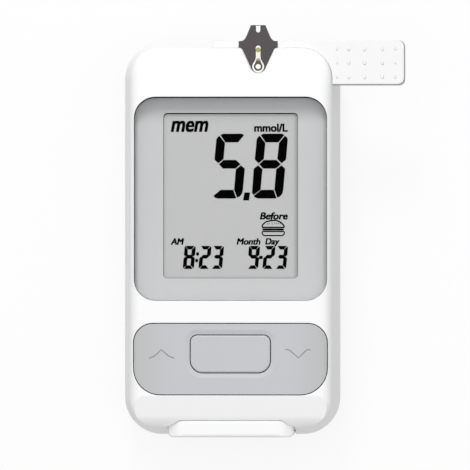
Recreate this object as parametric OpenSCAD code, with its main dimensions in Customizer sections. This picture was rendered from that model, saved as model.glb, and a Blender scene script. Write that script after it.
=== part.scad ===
// Handheld blood glucose meter with a test strip in its port.
// It lies on its back: +Z is out of the display, +Y is towards the strip end, +X is to the reader's right.
// The origin is the middle of the flat back.

/* [Body] */
// Width of the housing at its widest
body_w = 52; // [51.6:0.2:54]
// Length of the two housing shells
body_l = 94.4; // [94:0.2:98]
// Height from the flat back to the front face
body_h = 20; // [19.8:0.1:21]
// Corner radius of the housing, seen from the front
corner_r = 9; // [8.6:0.2:10]
// How far the rear shell flares out below the seam
flare = 1.6; // [1.4:0.1:1.8]
// Radius that rolls the front face into the sides
shoulder_r = 3.2; // [2.8:0.1:3.6]
// How far the shoulder is drawn back from the strip end, which keeps the edge there crisp
crisp_top = 2.4; // [2:0.1:2.8]
// Radius of the edge round the back
back_r = 6; // [5.4:0.2:6.6]
// Thickness of the moulded walls
wall = 1.6; // [1.5:0.1:1.7]
// Height of the seam between the two shells
seam_z = 13; // [12.8:0.1:13.2]
// Distance from the lower end to the crease where the front face starts to fall
toe_l = 9.3; // [9:0.1:9.4]
// Angle of that fall
toe_a = 15; // [12:1:18]
// Radius that rounds the lower end
toe_r = 4; // [3.6:0.2:4.6]

/* [Display] */
// Width of the rim left beside the display recess
recess_rim = 2.8; // [2.6:0.1:3.2]
// Length of the display recess
recess_l = 49; // [48.4:0.2:49.4]
// Distance from the strip end of the housing to the recess
recess_top = 13.2; // [13:0.1:13.6]
// Corner radius of the recess
recess_r = 5.2; // [4.4:0.2:6]
// Depth of the recess, down to the ledge that carries the mask
recess_d = 2.7; // [2.5:0.1:2.8]
// Thickness of the clear lens
lens_t = 0.7; // [0.6:0.05:0.8]
// Gap between the lens and the recess at the strip end
lens_gap = 0.3; // [0.15:0.05:0.35]
// Thickness of the grey mask behind the lens
mask_t = 0.4; // [0.3:0.05:0.5]
// Width of the window in the mask
window_w = 32.4; // [31:0.2:33]
// Length of the window in the mask
window_l = 39.7; // [38:0.1:40]
// Distance from the recess edge to the window, at the strip end
window_top = 3.9; // [3.7:0.1:4.2]
// How far the display glass reaches past the window on each side
glass_lap = 1.8; // [1.4:0.1:2]
// Thickness of the display glass
glass_t = 1.4; // [1.2:0.1:1.5]

/* [Keys] */
// Width of the rim left beside the keypad
pad_rim = 2.6; // [2.4:0.1:3]
// Length of the keypad
pad_l = 17.4; // [17.2:0.1:17.6]
// Distance from the lower end of the housing to the keypad
pad_foot = 9.5; // [9.4:0.1:9.8]
// Corner radius of the keypad on its display side
pad_r_top = 4.8; // [4:0.2:5.4]
// Corner radius of the keypad on its lower side
pad_r_bottom = 6.6; // [6:0.2:7]
// Gap round each key
key_gap = 0.22; // [0.18:0.02:0.3]
// How far the keys stand above the front face
key_rise = 0.1; // [0.05:0.05:0.2]
// Depth of the well that the keys sit in
pad_d = 2.5; // [2.4:0.05:2.6]
// Width of the middle key
mid_w = 19.1; // [17:0.1:20]
// Length of the middle key
mid_l = 8.9; // [8.6:0.1:9.1]
// Distance from the keypad edge to the middle key, on the display side
mid_top = 3; // [2.9:0.05:3.1]
// Corner radius of the middle key on its display side
mid_r_top = 1.6; // [1.4:0.1:2]
// Corner radius of the middle key on its lower side
mid_r_bottom = 2.9; // [2.4:0.1:3.4]
// Width of the dished border round the middle key
dish_w = 1.1; // [0.8:0.1:1.3]
// Depth of the dished border
dish_d = 0.35; // [0.25:0.05:0.45]
// Distance from the keypad's side to the foot under each end of the rocker key
foot_x = 7.4; // [7:0.2:8]
// Radius of the ribs that the rocker key tilts on
pivot_r = 0.7; // [0.6:0.05:0.8]

/* [Strip] */
// How far the middle of the strip lies to the right
strip_x = 6.65; // [6:0.05:7]
// Thickness of the strip
strip_t = 0.7; // [0.6:0.05:0.75]
// Depth of the floor that the strip slides on, below the front face
slot_d = 2.1; // [2:0.05:2.2]
// Width of the strip's tongue
tongue_w = 9; // [8.4:0.2:9.4]
// Length of the tongue inside the port
tongue_l = 9.4; // [9.2:0.1:9.5]
// Length of the strip's left wing, from its middle
wing_l = 10.9; // [9:0.1:12]
// Length of the strip's grip, from its middle
grip_x = 35.3; // [33:0.1:37]
// Height of the grip
grip_h = 10.8; // [10:0.1:11.4]
// Radius of the grip's corners
grip_r = 1.5; // [1:0.1:2]
// How far the strip's base layer shows past the grip's right and lower edges
base_lap = 0.3; // [0.15:0.05:0.4]
// How far the strip stands out past the strip end of the housing
strip_out = 0.3; // [0.2:0.05:0.5]
// Thickness of the dark cover film on the strip
film_t = 0.15; // [0.1:0.01:0.2]
// Radius of the round hole in the strip
eye_r = 0.65; // [0.5:0.05:0.8]
// Clearance of the strip in its slot
strip_gap = 0.05; // [0.04:0.01:0.08]

/* [Battery] */
// Diameter of one cell
cell_d = 10.5; // [10:0.1:10.5]
// Length of one cell with its nub
cell_l = 44.5; // [43.5:0.1:44.5]
// Gap between the two cells
cell_gap = 0.5; // [0.4:0.1:0.8]
// Thickness of the battery door
door_t = 1.5; // [1.4:0.05:1.55]
// Width of the battery door between its tongues
door_w = 25.5; // [25:0.1:26]
// Distance from the middle of the back to the door's inner end
door_end = 1.6; // [1.4:0.1:2.4]
// How far the door's outer end stands out past the housing
door_out = 0.6; // [0.4:0.1:0.8]
// Thickness of the door's outer wall and of its finger tab
tab_t = 1.5; // [1.3:0.1:1.6]
// Depth of the finger tab
tab_l = 4; // [3.7:0.1:4.1]
// Thickness of the finger tab from its top face down
tab_h = 2.2; // [2:0.1:2.3]
// Half width of the flat on the finger tab
tab_in = 12.3; // [12:0.1:12.6]
// Half width of the finger tab below its sloping sides
tab_out = 15.2; // [14.8:0.1:15.4]
// Clearance round the door
door_gap = 0.15; // [0.1:0.01:0.18]

/* [Inside] */
// Thickness of the circuit board
board_t = 1; // [0.8:0.1:1]
// Distance of the housing screws from the middle
screw_x = 17.5; // [17.4:0.1:17.8]
// Distance of the upper screws from the strip end
screw_top = 9.2; // [9:0.1:9.6]
// Distance of the lower screws from the lower end
screw_foot = 5.9; // [5.8:0.1:6]
// Outer radius of the screw posts
post_r = 2.6; // [2.5:0.05:2.7]
// Radius of the screws
screw_r = 1; // [0.9:0.05:1.05]
// Thickness of the silicone key mat
mat_t = 0.8; // [0.7:0.05:0.9]

/* [Hidden] */
$fn = 64;

eps = 0.01;
far = 80;
end_y = body_l / 2;

// The front cover is smaller than the rear shell's belt by the flare.
cover_w = body_w - 2 * flare;
cover_l = body_l - 2 * flare;
cover_r = corner_r - flare;
cover_y = cover_l / 2;
crisp_toe = 0.8;
crisp_turn = crisp_top - 0.2;
lip_t = wall / 2 - 0.1;
lip_h = 1;
seam_groove = 0.25;

// Heights: from the back up to the board, and from the face down to the glass.
cell_z = door_t + 0.4 + cell_d / 2;
roof_t = 0.8;
roof_z = cell_z + cell_d / 2 + 0.15;
board_z = roof_z + roof_t + 0.35;
board_top = board_z + board_t;
board_w = cover_w - 2 * wall - 2.4;
board_l = cover_l - 2 * wall - 2;
seat_z = body_h - recess_d;
seat_t = 0.9;
mask_z = seat_z;
lens_z = mask_z + mask_t;
glass_top = seat_z - 0.2;
glass_z = glass_top - glass_t;
pad_z = body_h - pad_d;
pad_floor_t = 1;
skirt_t = 1.2;
slot_z = body_h - slot_d;
strip_z = slot_z + strip_gap;
strip_top = strip_z + strip_t;
slot_top = strip_top + strip_gap;

// The lower end of the front face, as seen from the side.
toe_y = -end_y + toe_l;
toe_cy = -cover_y + toe_r;
toe_ty = toe_cy - toe_r * sin(toe_a);
toe_tz = body_h - (toe_y - toe_ty) * tan(toe_a);
toe_cz = toe_tz - toe_r * cos(toe_a);

// Places on the front face.
recess_w = body_w - 2 * recess_rim;
recess_y = end_y - recess_top - recess_l / 2;
lens_w = recess_w - 0.2;
lens_l = recess_l - lens_gap - 0.1;
lens_y = recess_y - (lens_gap - 0.1) / 2;
window_y = end_y - recess_top - window_top - window_l / 2;
window_r = 1;
glass_w = window_w + 2 * glass_lap;
glass_l = window_l + 2 * glass_lap + 2;
glass_y = window_y - 0.6;
pad_w = body_w - 2 * pad_rim;
pad_y = -end_y + pad_foot + pad_l / 2;
mid_y = pad_y + pad_l / 2 - mid_top - mid_l / 2;
flange_w = 0.8;
flange_z = pad_z - 0.3;
flange_t = 0.7;
foot_at = pad_w / 2 - foot_x;
pass_w = 2 * foot_at + 7;
pass_l = mid_l + 2 * flange_w + 0.5;
key_under = pad_z + 0.7;
pivot_z = key_under - 0.3;
pivot_gap = 0.05;
foot_r = 2;
mat_z = board_top + 0.05;
mat_top = mat_z + mat_t;
pip_top = mat_top + 0.9;
dome_r = 3;
dome_h = 0.3;

// The strip, measured from the edge of the front cover that it is pushed against.
port_y = cover_y;
film_nose = 5.6;
film_tail = 4.35;
tail_y = 3.9;
nose_x = 1.72;
ear_x = 4.68;
waist_x = 3.72;
tail_r = 1.9;
// Points of the nose's side and the ear, where each side curves into the next
film_side = [[ear_x, 0.15], [ear_x, 1.76], [4.05, 1.78], [3.66, 1.9], [3.34, 2.16], [3.08, 2.52],
             [2.82, 3.0], [nose_x, film_nose]];
sip_w = 1.35;
sip_l = 1.9;
base_t = 0.2;

// Parts under the board.
chip_w = 10;
chip_t = 1.4;
chip_y = 8;
radio_w = 11;
radio_l = 8;
radio_in = 2.6;
radio_top = 14.4;
buzz_r = 6;
buzz_h = 3.5;
buzz_in = 9.6;
buzz_y = 9.2;

// The battery well, its door and the finger tab.
well_x = cell_d + cell_gap / 2 + 0.25;
well_t = 1.2;
door_in = -end_y - door_out + tab_t;
cut_in = door_in + door_gap + 0.05;
well_foot = cut_in + 1.9;
plate_t = 0.3;
dimple = 0.8;
nub = 0.8;
spring_l = 3.1;
well_head = well_foot + cell_l + 2 * plate_t + dimple + spring_l;
tongue = 1;
tongue_z = door_t - 0.65;
bend_r = back_r + door_out;
bend_y = -end_y + back_r;
tab_y = -end_y - door_out + tab_l;
tab_z = body_h - (toe_y - toe_ty) * tan(toe_a) - 0.45;
tab_drop = tab_h - 0.1;
tab_blend = 4;
tab_edge = 0.6;
tab_turn = 1.4;
curl_y = bend_y - 1.7;

white = [0.96, 0.96, 0.96];
grey = [0.66, 0.67, 0.68];
dark = [0.34, 0.33, 0.33];
gold = [0.75, 0.68, 0.3];

// A rounded rectangle with one corner radius for each end.
module plan(w, l, r_top, r_bottom) {
    x = w / 2;
    y = l / 2;
    polygon([[-x, -y + r_bottom], [-x + r_bottom, -y], [x - r_bottom, -y], [x, -y + r_bottom],
             [x, y - r_top], [x - r_top, y], [-x + r_top, y], [-x, y - r_top]]);
    for (s = [-1, 1]) {
        translate([s * (x - r_top), y - r_top]) circle(r_top);
        translate([s * (x - r_bottom), -y + r_bottom]) circle(r_bottom);
    }
}

module plate(w, l, r, h) {
    linear_extrude(h) plan(w, l, r, r);
}

// Runs a section round a rounded rectangle. The section has x outwards from the outline and y up.
module run_round(w, l, r_top, r_bottom) {
    x = w / 2;
    y = l / 2;
    corners = [[x - r_top, y - r_top, r_top], [-x + r_top, y - r_top, r_top],
               [-x + r_bottom, -y + r_bottom, r_bottom], [x - r_bottom, -y + r_bottom, r_bottom]];
    runs = [w - 2 * r_top, l - r_top - r_bottom, w - 2 * r_bottom, l - r_top - r_bottom];
    for (k = [0 : 3])
        translate([corners[k][0], corners[k][1], 0]) rotate([0, 0, 90 * k]) {
            rotate_extrude(angle = 90) intersection() {
                translate([corners[k][2], 0]) children();
                translate([0, -far]) square([far, 2 * far]);
            }
            translate([-runs[k], corners[k][2], 0]) rotate([90, 0, 90])
                linear_extrude(runs[k]) children();
        }
}

// A quarter disc that fills the corner between two tangent lines. Quadrants count from the upper right.
module quarter(r, turn) {
    rotate(90 * turn) intersection() {
        circle(r);
        square(r);
    }
}

// Half section of the rear shell, inset by t: a rounded back edge, then a flank that leans in.
module rear_section(t) {
    r = corner_r - t;
    b = back_r - t;
    polygon([[-r, t], [-b, t], [0, back_r], [-flare, seam_z], [-r, seam_z]]);
    translate([-b, back_r]) quarter(b, 3);
}

module rear_form(t) {
    w = body_w - 2 * t;
    l = body_l - 2 * t;
    r = corner_r - t;
    run_round(w, l, r, r) rear_section(t);
    translate([-w / 2 + r, -l / 2 + r, t]) cube([w - 2 * r, l - 2 * r, seam_z - t]);
}

// Half section of the front cover, inset by t: an upright flank, then the shoulder.
module cover_section(t, z) {
    r = cover_r - t + crisp_turn;
    s = shoulder_r - t;
    polygon([[-r, z], [0, z], [0, body_h - shoulder_r], [-s, body_h - t], [-r, body_h - t]]);
    translate([-s, body_h - shoulder_r]) quarter(s, 0);
}

// Side view of the front cover's lower end, inset by t.
module toe_section(t, z) {
    r = toe_r - t;
    polygon([[far, z], [far, body_h - t], [toe_y + t * tan(toe_a / 2), body_h - t],
             [toe_cy - r * sin(toe_a), toe_cz + r * cos(toe_a)], [toe_cy - r, toe_cz],
             [toe_cy - r, z]]);
    translate([toe_cy, toe_cz]) intersection() {
        circle(r);
        translate([-r, 0]) square([r, r]);
    }
}

// The front cover's outer form, inset by t, from height z up. It is shifted up by rise.
module cover_form(t, z, rise = 0) {
    w = cover_w - 2 * t;
    l = cover_l - 2 * t + crisp_top + crisp_toe;
    r = cover_r - t;
    translate([0, 0, rise]) intersection() {
        translate([0, (crisp_top - crisp_toe) / 2, 0]) union() {
            run_round(w, l, r + crisp_turn, r) cover_section(t, z);
            translate([-w / 2 + r, -l / 2 + r, z]) cube([w - 2 * r, l - 2 * r, body_h - t - z]);
        }
        translate([0, 0, z - 1]) plate(w, cover_l - 2 * t, r, far);
        across() toe_section(t, z - 1);
    }
}

// Outline of the strip's cover film, grown by g, with y measured from the front cover's edge.
module film_plan(g) {
    r = tail_r + g;
    // The straight side runs to a point just inside the round tail
    inner = r - 0.02;
    reach = [waist_x + g, tail_y - 0.3];
    a = atan2(reach[1], reach[0]) - acos(inner / norm(reach));
    side = concat([[inner * cos(a), inner * sin(a) - tail_y], [waist_x + g, -0.3], [4.05 + g, 0.08]],
                  [for (p = film_side) [p[0] + g, p[1] + (p[1] == film_nose ? g : 0)]]);
    polygon(concat(side, [for (k = [len(side) - 1 : -1 : 0]) [-side[k][0], side[k][1]]]));
    translate([0, -tail_y]) circle(r);
}

module film_block(g, z, h) {
    translate([strip_x, port_y, z]) linear_extrude(h) film_plan(g);
}

// End view of the door's finger tab, grown by g.
module tab_section(g) {
    a = atan2(tab_drop, tab_out - tab_in);
    r = tab_blend + g;
    x = tab_in - tab_blend * tan(a / 2);
    z = tab_z - tab_blend;
    side = [[tab_out + g, -1], [tab_out + g, tab_z - tab_drop], [x + r * sin(a), z + r * cos(a)],
            [x, z + r]];
    polygon(concat(side, [for (k = [len(side) - 1 : -1 : 0]) [-side[k][0], side[k][1]]]));
    for (s = [-1, 1]) translate([s * x, z]) circle(r);
}

module tab_block(g, y, l) {
    translate([0, y, 0]) rotate([90, 0, 0]) linear_extrude(l) tab_section(g);
}

// What a rounded lower left corner loses, for an outline that starts at the origin.
module round_off(r) {
    difference() {
        translate([-1, -1]) square(r + 1);
        translate([r, r]) circle(r);
    }
}

// Side view of the door's outside.
module door_side() {
    translate([-end_y - door_out, 0]) difference() {
        square([far, tab_z]);
        round_off(bend_r);
        translate([0, tab_z]) rotate(-90) round_off(tab_edge);
    }
}

// Side view of what the door's wall, of thickness t, encloses.
module door_room(t) {
    translate([-end_y - door_out + t, t]) difference() {
        square([far, tab_z - tab_h - t]);
        round_off(bend_r - t);
    }
}

// A side view drawn out over the whole width.
module across() {
    rotate([90, 0, 90]) translate([0, 0, -far]) linear_extrude(2 * far) children();
}

module screw_places() {
    for (s = [-1, 1]) {
        translate([s * screw_x, end_y - screw_top, 0]) children();
        translate([s * screw_x, -end_y + screw_foot, 0]) children();
    }
}

module front_cover() {
    color(white) difference() {
        union() {
            difference() {
                cover_form(0, seam_z);
                cover_form(wall, seam_z - 1);
            }
            intersection() {
                cover_form(0.4, board_top);
                union() {
                    // Skirts that carry the display ledge and the key well's floor
                    translate([0, recess_y, seat_z - seat_t])
                        plate(recess_w + 2 * skirt_t, recess_l + 2 * skirt_t, recess_r + skirt_t, 3);
                    translate([0, pad_y, pad_z - pad_floor_t]) linear_extrude(3)
                        plan(pad_w + 2 * skirt_t, pad_l + 2 * skirt_t, pad_r_top + skirt_t,
                             pad_r_bottom + skirt_t);
                    // Bosses that press the board on to the rear posts
                    screw_places() translate([0, 0, board_top]) cylinder(r = post_r, h = 8);
                    // Stiffer wall behind the finger tab
                    translate([-tab_out - 1.2, -cover_y, board_top + 0.1])
                        cube([2 * tab_out + 2.4, tab_y + cover_y + 0.9, body_h - board_top]);
                }
            }
        }
        // Display recess and the opening in its ledge
        translate([0, recess_y, seat_z]) plate(recess_w, recess_l, recess_r, far);
        translate([0, glass_y, seat_z - 3]) plate(glass_w + 1.6, glass_l + 1, 1, far);
        // Key well, the passage for the keys' feet and the two cradles of the rocker
        translate([0, pad_y, pad_z]) linear_extrude(far) plan(pad_w, pad_l, pad_r_top, pad_r_bottom);
        translate([0, mid_y, pad_z - 3]) plate(pass_w, pass_l, 1, far);
        rocker_pivots(pivot_gap, 0.2);
        // Strip slot with its V-shaped sight notch and a lead-in
        translate([strip_x - tongue_w / 2 - 0.1, port_y - tongue_l - 0.1, slot_z])
            cube([tongue_w + 0.2, far, slot_top - slot_z]);
        film_block(0.2, slot_top - eps, far);
        translate([strip_x, port_y + 0.5, slot_z]) rotate([0, 90, 0])
            cylinder(r = 0.9, h = tongue_w + 0.2, center = true);
        // Seat for the finger tab
        intersection() {
            tab_block(door_gap, tab_y + door_gap / 2, far);
            translate([-far, -far, tab_z - tab_h - door_gap]) cube([2 * far, far, far]);
        }
        // Rebate over the rear shell's lip
        translate([0, 0, seam_z - 1])
            plate(cover_w - 2 * wall + 2 * lip_t + 0.2, cover_l - 2 * wall + 2 * lip_t + 0.2,
                  cover_r - wall + lip_t + 0.1, 1 + lip_h + 0.1);
        // Fine groove that marks the seam
        translate([0, 0, seam_z - 1]) difference() {
            plate(cover_w + 2, cover_l + 2, cover_r + 1, 1 + seam_groove);
            translate([0, 0, -1]) plate(cover_w - 2 * seam_groove, cover_l - 2 * seam_groove,
                                        cover_r - seam_groove, 4);
        }
        screw_places() translate([0, 0, board_top - 1]) cylinder(r = screw_r, h = 3.2);
    }
}

// The two ribs under the rocker key, grown by g and made longer by e at each end.
module rocker_pivots(g, e) {
    top = pad_y + pad_l / 2 - key_gap;
    foot = pad_y - pad_l / 2 + key_gap;
    spans = [[foot + 1, mid_y - pass_l / 2 - 0.9], [mid_y + pass_l / 2 + 0.4, top - 0.3]];
    for (s = spans)
        translate([0, s[0] - e, pivot_z]) rotate([-90, 0, 0])
            cylinder(r = pivot_r + g, h = s[1] - s[0] + 2 * e);
}

module rear_cover() {
    color(white) difference() {
        union() {
            difference() {
                rear_form(0);
                rear_form(wall);
                translate([0, 0, seam_z - 0.5])
                    plate(cover_w - 2 * wall, cover_l - 2 * wall, cover_r - wall, 1);
            }
            // Lip that centres the front cover
            translate([0, 0, seam_z - 1.5]) difference() {
                plate(cover_w - 2 * wall + 2 * lip_t, cover_l - 2 * wall + 2 * lip_t,
                      cover_r - wall + lip_t, 1.5 + lip_h);
                translate([0, 0, -1])
                    plate(cover_w - 2 * wall, cover_l - 2 * wall, cover_r - wall, far);
            }
            // Battery well, with cheeks beside the door's end
            translate([-well_x - well_t, cut_in, 1])
                cube([2 * (well_x + well_t), well_head + well_t - cut_in, seam_z - 1]);
            translate([-well_x - well_t, -cover_y + wall + 0.2, roof_z])
                cube([2 * (well_x + well_t), well_head + well_t + cover_y - wall - 0.2, roof_t]);
            intersection() {
                rear_form(0.4);
                translate([-tab_out - 1.7, cut_in - 0.3, 0])
                    cube([2 * tab_out + 3.4, curl_y + 1.7 - cut_in, far]);
            }
            // Rails over the door's tongues
            translate([-door_w / 2 - tongue - 1.4, curl_y, wall - 0.1])
                cube([door_w + 2 * tongue + 2.8, -door_end + 1.4 - curl_y, 1]);
            screw_places() translate([0, 0, 1]) cylinder(r = post_r, h = board_z - 1);
        }
        // Room for the cells
        translate([-well_x, well_foot, wall]) cube([2 * well_x, well_head - well_foot, roof_z - wall]);
        translate([-well_x, well_foot, -1])
            cube([2 * well_x, -door_end + door_gap - well_foot, 3]);
        // Opening for the door, with a groove for its tongues
        translate([-door_w / 2 - door_gap, -far - door_end + door_gap, -1])
            cube([door_w + 2 * door_gap, far, door_t + 1 + door_gap]);
        translate([-door_w / 2 - tongue - door_gap, -far - door_end + door_gap, tongue_z - 0.05])
            cube([door_w + 2 * tongue + 2 * door_gap, far, door_t - tongue_z + 0.05 + door_gap]);
        // Hollow that the door's outer wall lies in
        difference() {
            tab_block(door_gap, curl_y + door_gap, far);
            across() door_room(tab_t + door_gap + 0.05);
        }
        // Screw holes
        screw_places() {
            translate([0, 0, -1]) cylinder(r = 2 * screw_r + 0.1, h = 10);
            translate([0, 0, 8]) cylinder(r = screw_r + 0.15, h = far);
        }
    }
}

module battery_door() {
    color(white) difference() {
        union() {
            intersection() {
                translate([-door_w / 2, curl_y - 0.3, 0])
                    cube([door_w, -door_end - curl_y + 0.3, door_t]);
                across() door_side();
            }
            translate([-door_w / 2 - tongue, bend_y + 1, tongue_z])
                cube([door_w + 2 * tongue, -door_end - bend_y - 1, door_t - tongue_z]);
            // End wall that curls up round the housing and ends in the finger tab
            difference() {
                intersection() {
                    tab_block(0, curl_y, far);
                    across() door_side();
                }
                across() door_room(tab_t);
                translate([-far, tab_y, bend_r]) cube([2 * far, far, far]);
                for (s = [0, 1])
                    translate([(2 * s - 1) * tab_out, -end_y - door_out, -1])
                        rotate([0, 0, 90 * s]) linear_extrude(far) round_off(tab_turn);
            }
        }
        // Finger grooves
        for (k = [0 : 4])
            translate([0, bend_y + 4 + 1.8 * k, -0.25]) rotate([0, 90, 0])
                cylinder(r = 0.7, h = 15 - 1.5 * k, center = true);
    }
}

module display_lens() {
    color([0.85, 0.88, 0.9, 0.4]) translate([0, lens_y, lens_z])
        plate(lens_w, lens_l, recess_r - 0.1, lens_t);
}

module display_mask() {
    color(grey) translate([0, 0, mask_z]) difference() {
        translate([0, lens_y, 0]) plate(lens_w, lens_l, recess_r - 0.1, mask_t);
        translate([0, window_y, -1]) plate(window_w, window_l, window_r, 3);
    }
}

module display_glass() {
    color([0.72, 0.74, 0.72]) translate([0, glass_y, glass_z]) {
        translate([-glass_w / 2, -glass_l / 2, 0]) cube([glass_w, glass_l, glass_t / 2]);
        // The upper pane is shorter and leaves a contact ledge at the lower end
        translate([-glass_w / 2, -glass_l / 2 + 1.6, glass_t / 2])
            cube([glass_w, glass_l - 1.6, glass_t / 2]);
    }
}

module glass_holder() {
    color([0.9, 0.9, 0.88]) difference() {
        translate([0, glass_y, board_top])
            plate(glass_w + 4, glass_l + 4, 1.5, seat_z - seat_t - 0.1 - board_top);
        translate([-glass_w / 2 - 0.1, glass_y - glass_l / 2 - 0.1, glass_z])
            cube([glass_w + 0.2, glass_l + 0.2, 5]);
        translate([0, glass_y, board_top - 1]) plate(glass_w - 5, glass_l - 9, 2, 5);
        for (s = [-1, 1])
            translate([-glass_w / 2 + 2, glass_y + s * (glass_l / 2 - 2.4) - 0.85, board_top - 1])
                cube([glass_w - 4, 1.7, 5]);
    }
}

module elastomer_connectors() {
    color([0.85, 0.45, 0.5])
        for (s = [-1, 1])
            translate([-glass_w / 2 + 2.2, glass_y + s * (glass_l / 2 - 2.4) - 0.75, board_top])
                cube([glass_w - 4.4, 1.5, glass_z - board_top]);
}

module rocker_key() {
    color(grey) {
        difference() {
            intersection() {
                translate([0, pad_y, key_under]) linear_extrude(far)
                    plan(pad_w - 2 * key_gap, pad_l - 2 * key_gap, pad_r_top - key_gap,
                         pad_r_bottom - key_gap);
                cover_form(0, seam_z, key_rise);
            }
            translate([0, mid_y, key_under - 1]) linear_extrude(far)
                plan(mid_w + 2 * key_gap, mid_l + 2 * key_gap, mid_r_top + key_gap,
                     mid_r_bottom + key_gap);
            // Dished border
            translate([0, mid_y, body_h + key_rise])
                run_round(mid_w, mid_l, mid_r_top, mid_r_bottom)
                    polygon([[0, -dish_d], [key_gap, -dish_d], [key_gap + dish_w, 0],
                             [key_gap + dish_w, 1], [0, 1]]);
        }
        for (s = [-1, 1])
            translate([s * foot_at, mid_y, pip_top]) cylinder(r = foot_r, h = key_under - pip_top + 0.3);
        intersection() {
            rocker_pivots(0, 0);
            translate([-2, -end_y, pivot_z - 2]) cube([4, body_l, key_under - pivot_z + 2.1]);
        }
    }
}

module middle_key() {
    top = body_h + key_rise;
    color([0.7, 0.71, 0.72]) {
        difference() {
            translate([0, mid_y, flange_z]) linear_extrude(top - flange_z)
                plan(mid_w, mid_l, mid_r_top, mid_r_bottom);
            translate([0, mid_y, top]) run_round(mid_w, mid_l, mid_r_top, mid_r_bottom)
                difference() {
                    translate([-0.4, -0.4]) square(1);
                    translate([-0.4, -0.4]) circle(0.4);
                }
        }
        translate([0, mid_y, flange_z]) linear_extrude(flange_t)
            plan(mid_w + 2 * flange_w, mid_l + 2 * flange_w, mid_r_top + flange_w,
                 mid_r_bottom + flange_w);
        translate([0, mid_y, pip_top]) cylinder(r = foot_r, h = flange_z - pip_top + eps);
    }
}

module key_mat() {
    color([0.8, 0.82, 0.84]) difference() {
        union() {
            translate([0, mid_y, mat_z]) plate(pass_w + 3, pass_l + 1.6, 2, mat_t);
            for (s = [-1 : 1])
                translate([s * foot_at, mid_y, mat_z]) cylinder(r = foot_r, h = pip_top - mat_z);
        }
        for (s = [-1 : 1])
            translate([s * foot_at, mid_y, mat_z - 1]) cylinder(r = dome_r + 0.3, h = 1.4);
    }
}

module snap_domes() {
    color([0.75, 0.76, 0.78])
        for (s = [-1 : 1])
            translate([s * foot_at, mid_y, board_top]) rotate_extrude()
                polygon([for (u = [0 : 0.2 : 1]) [dome_r * u, dome_h * (1 - u * u)], [0, 0]]);
}

module circuit_board() {
    color([0.15, 0.4, 0.25]) difference() {
        translate([0, 0, board_z])
            plate(board_w, board_l, cover_r - wall, board_t);
        screw_places() translate([0, 0, board_z - 1]) cylinder(r = screw_r + 0.2, h = 4);
    }
}

module processor_chip() {
    color([0.12, 0.12, 0.13]) translate([-chip_w / 2, well_head + chip_y, board_z - chip_t])
        cube([chip_w, chip_w, chip_t]);
}

module radio_module() {
    color([0.7, 0.72, 0.7]) {
        translate([board_w / 2 - radio_in - radio_w, end_y - radio_top - radio_l, board_z - 0.6])
            cube([radio_w, radio_l, 0.6]);
        translate([board_w / 2 - radio_in - radio_w + 0.5, end_y - radio_top - radio_l + 0.5,
                   board_z - 2])
            cube([radio_l - 1, radio_l - 1, 1.4 + eps]);
    }
}

module buzzer() {
    color([0.15, 0.15, 0.16]) translate([-board_w / 2 + buzz_in, end_y - screw_top - buzz_y,
                                         board_z - buzz_h]) difference() {
        cylinder(r = buzz_r, h = buzz_h);
        translate([0, 0, -1]) cylinder(r = 1, h = 2);
    }
}

module strip_connector() {
    w = tongue_w + 4;
    y0 = port_y - tongue_l - 0.7;
    y1 = port_y - wall - 0.2;
    color([0.2, 0.2, 0.22]) difference() {
        translate([strip_x - w / 2, y0, board_top]) cube([w, y1 - y0, slot_z - board_top]);
        for (k = [0 : 3])
            translate([strip_x - 3 + 2 * k - 0.6, y0 + 0.8, board_top + 0.4])
                cube([1.2, y1 - y0 - 2, far]);
    }
}

module contact_springs() {
    y0 = port_y - tongue_l + 0.3;
    z0 = board_top + 0.4;
    rise = strip_z - strip_gap - z0;
    color(gold)
        for (k = [0 : 3])
            translate([strip_x - 3 + 2 * k - 0.45, 0, z0]) rotate([90, 0, 90]) linear_extrude(0.9)
                polygon([[y0, 0], [y0 + 5.6, 0], [y0 + 5.6, 0.25], [y0 + 1, 0.25], [y0 + 4.6, rise - 0.15],
                         [y0 + 5.2, rise - 0.7], [y0 + 5.4, rise - 0.55], [y0 + 4.8, rise],
                         [y0 + 4.4, rise], [y0, 0.2]]);
}

// One cell on its side, with its nub towards +Y and its flat end at the origin.
module cell() {
    r = cell_d / 2;
    h = cell_l - nub;
    rotate([-90, 0, 0]) rotate_extrude()
        polygon([[0, 0], [r - 1, 0], [r - 0.6, 0.3], [r, 0.7], [r, h - 0.7], [r - 0.6, h - 0.2],
                 [r - 1.2, h], [1.9, h], [1.9, h + nub - 0.2], [1.7, h + nub], [0, h + nub]]);
}

module battery_cell_left() {
    color([0.55, 0.56, 0.58])
        translate([-(cell_d + cell_gap) / 2, well_foot + plate_t + spring_l, cell_z]) cell();
}

module battery_cell_right() {
    color([0.55, 0.56, 0.58])
        translate([(cell_d + cell_gap) / 2, well_head - plate_t - spring_l, cell_z])
            rotate([0, 0, 180]) cell();
}

// A contact plate in the well's end wall. The bump, turned towards the cell, meets a nub.
module contact_plate(x, y, w, bump = 0, turn = 0) {
    translate([x - w / 2, y, cell_z - 4]) cube([w, plate_t, 8]);
    if (turn != 0)
        translate([bump, y + plate_t / 2, cell_z]) rotate([turn, 0, 0])
            cylinder(r1 = 2.6, r2 = 1.6, h = plate_t / 2 + dimple);
}

module battery_plates() {
    x = (cell_d + cell_gap) / 2;
    color([0.8, 0.8, 0.82]) {
        contact_plate(-x, well_foot, 8);
        contact_plate(x, well_foot, 8, x, -90);
        contact_plate(0, well_head - plate_t, 2 * x + 8, -x, 90);
    }
}

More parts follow.
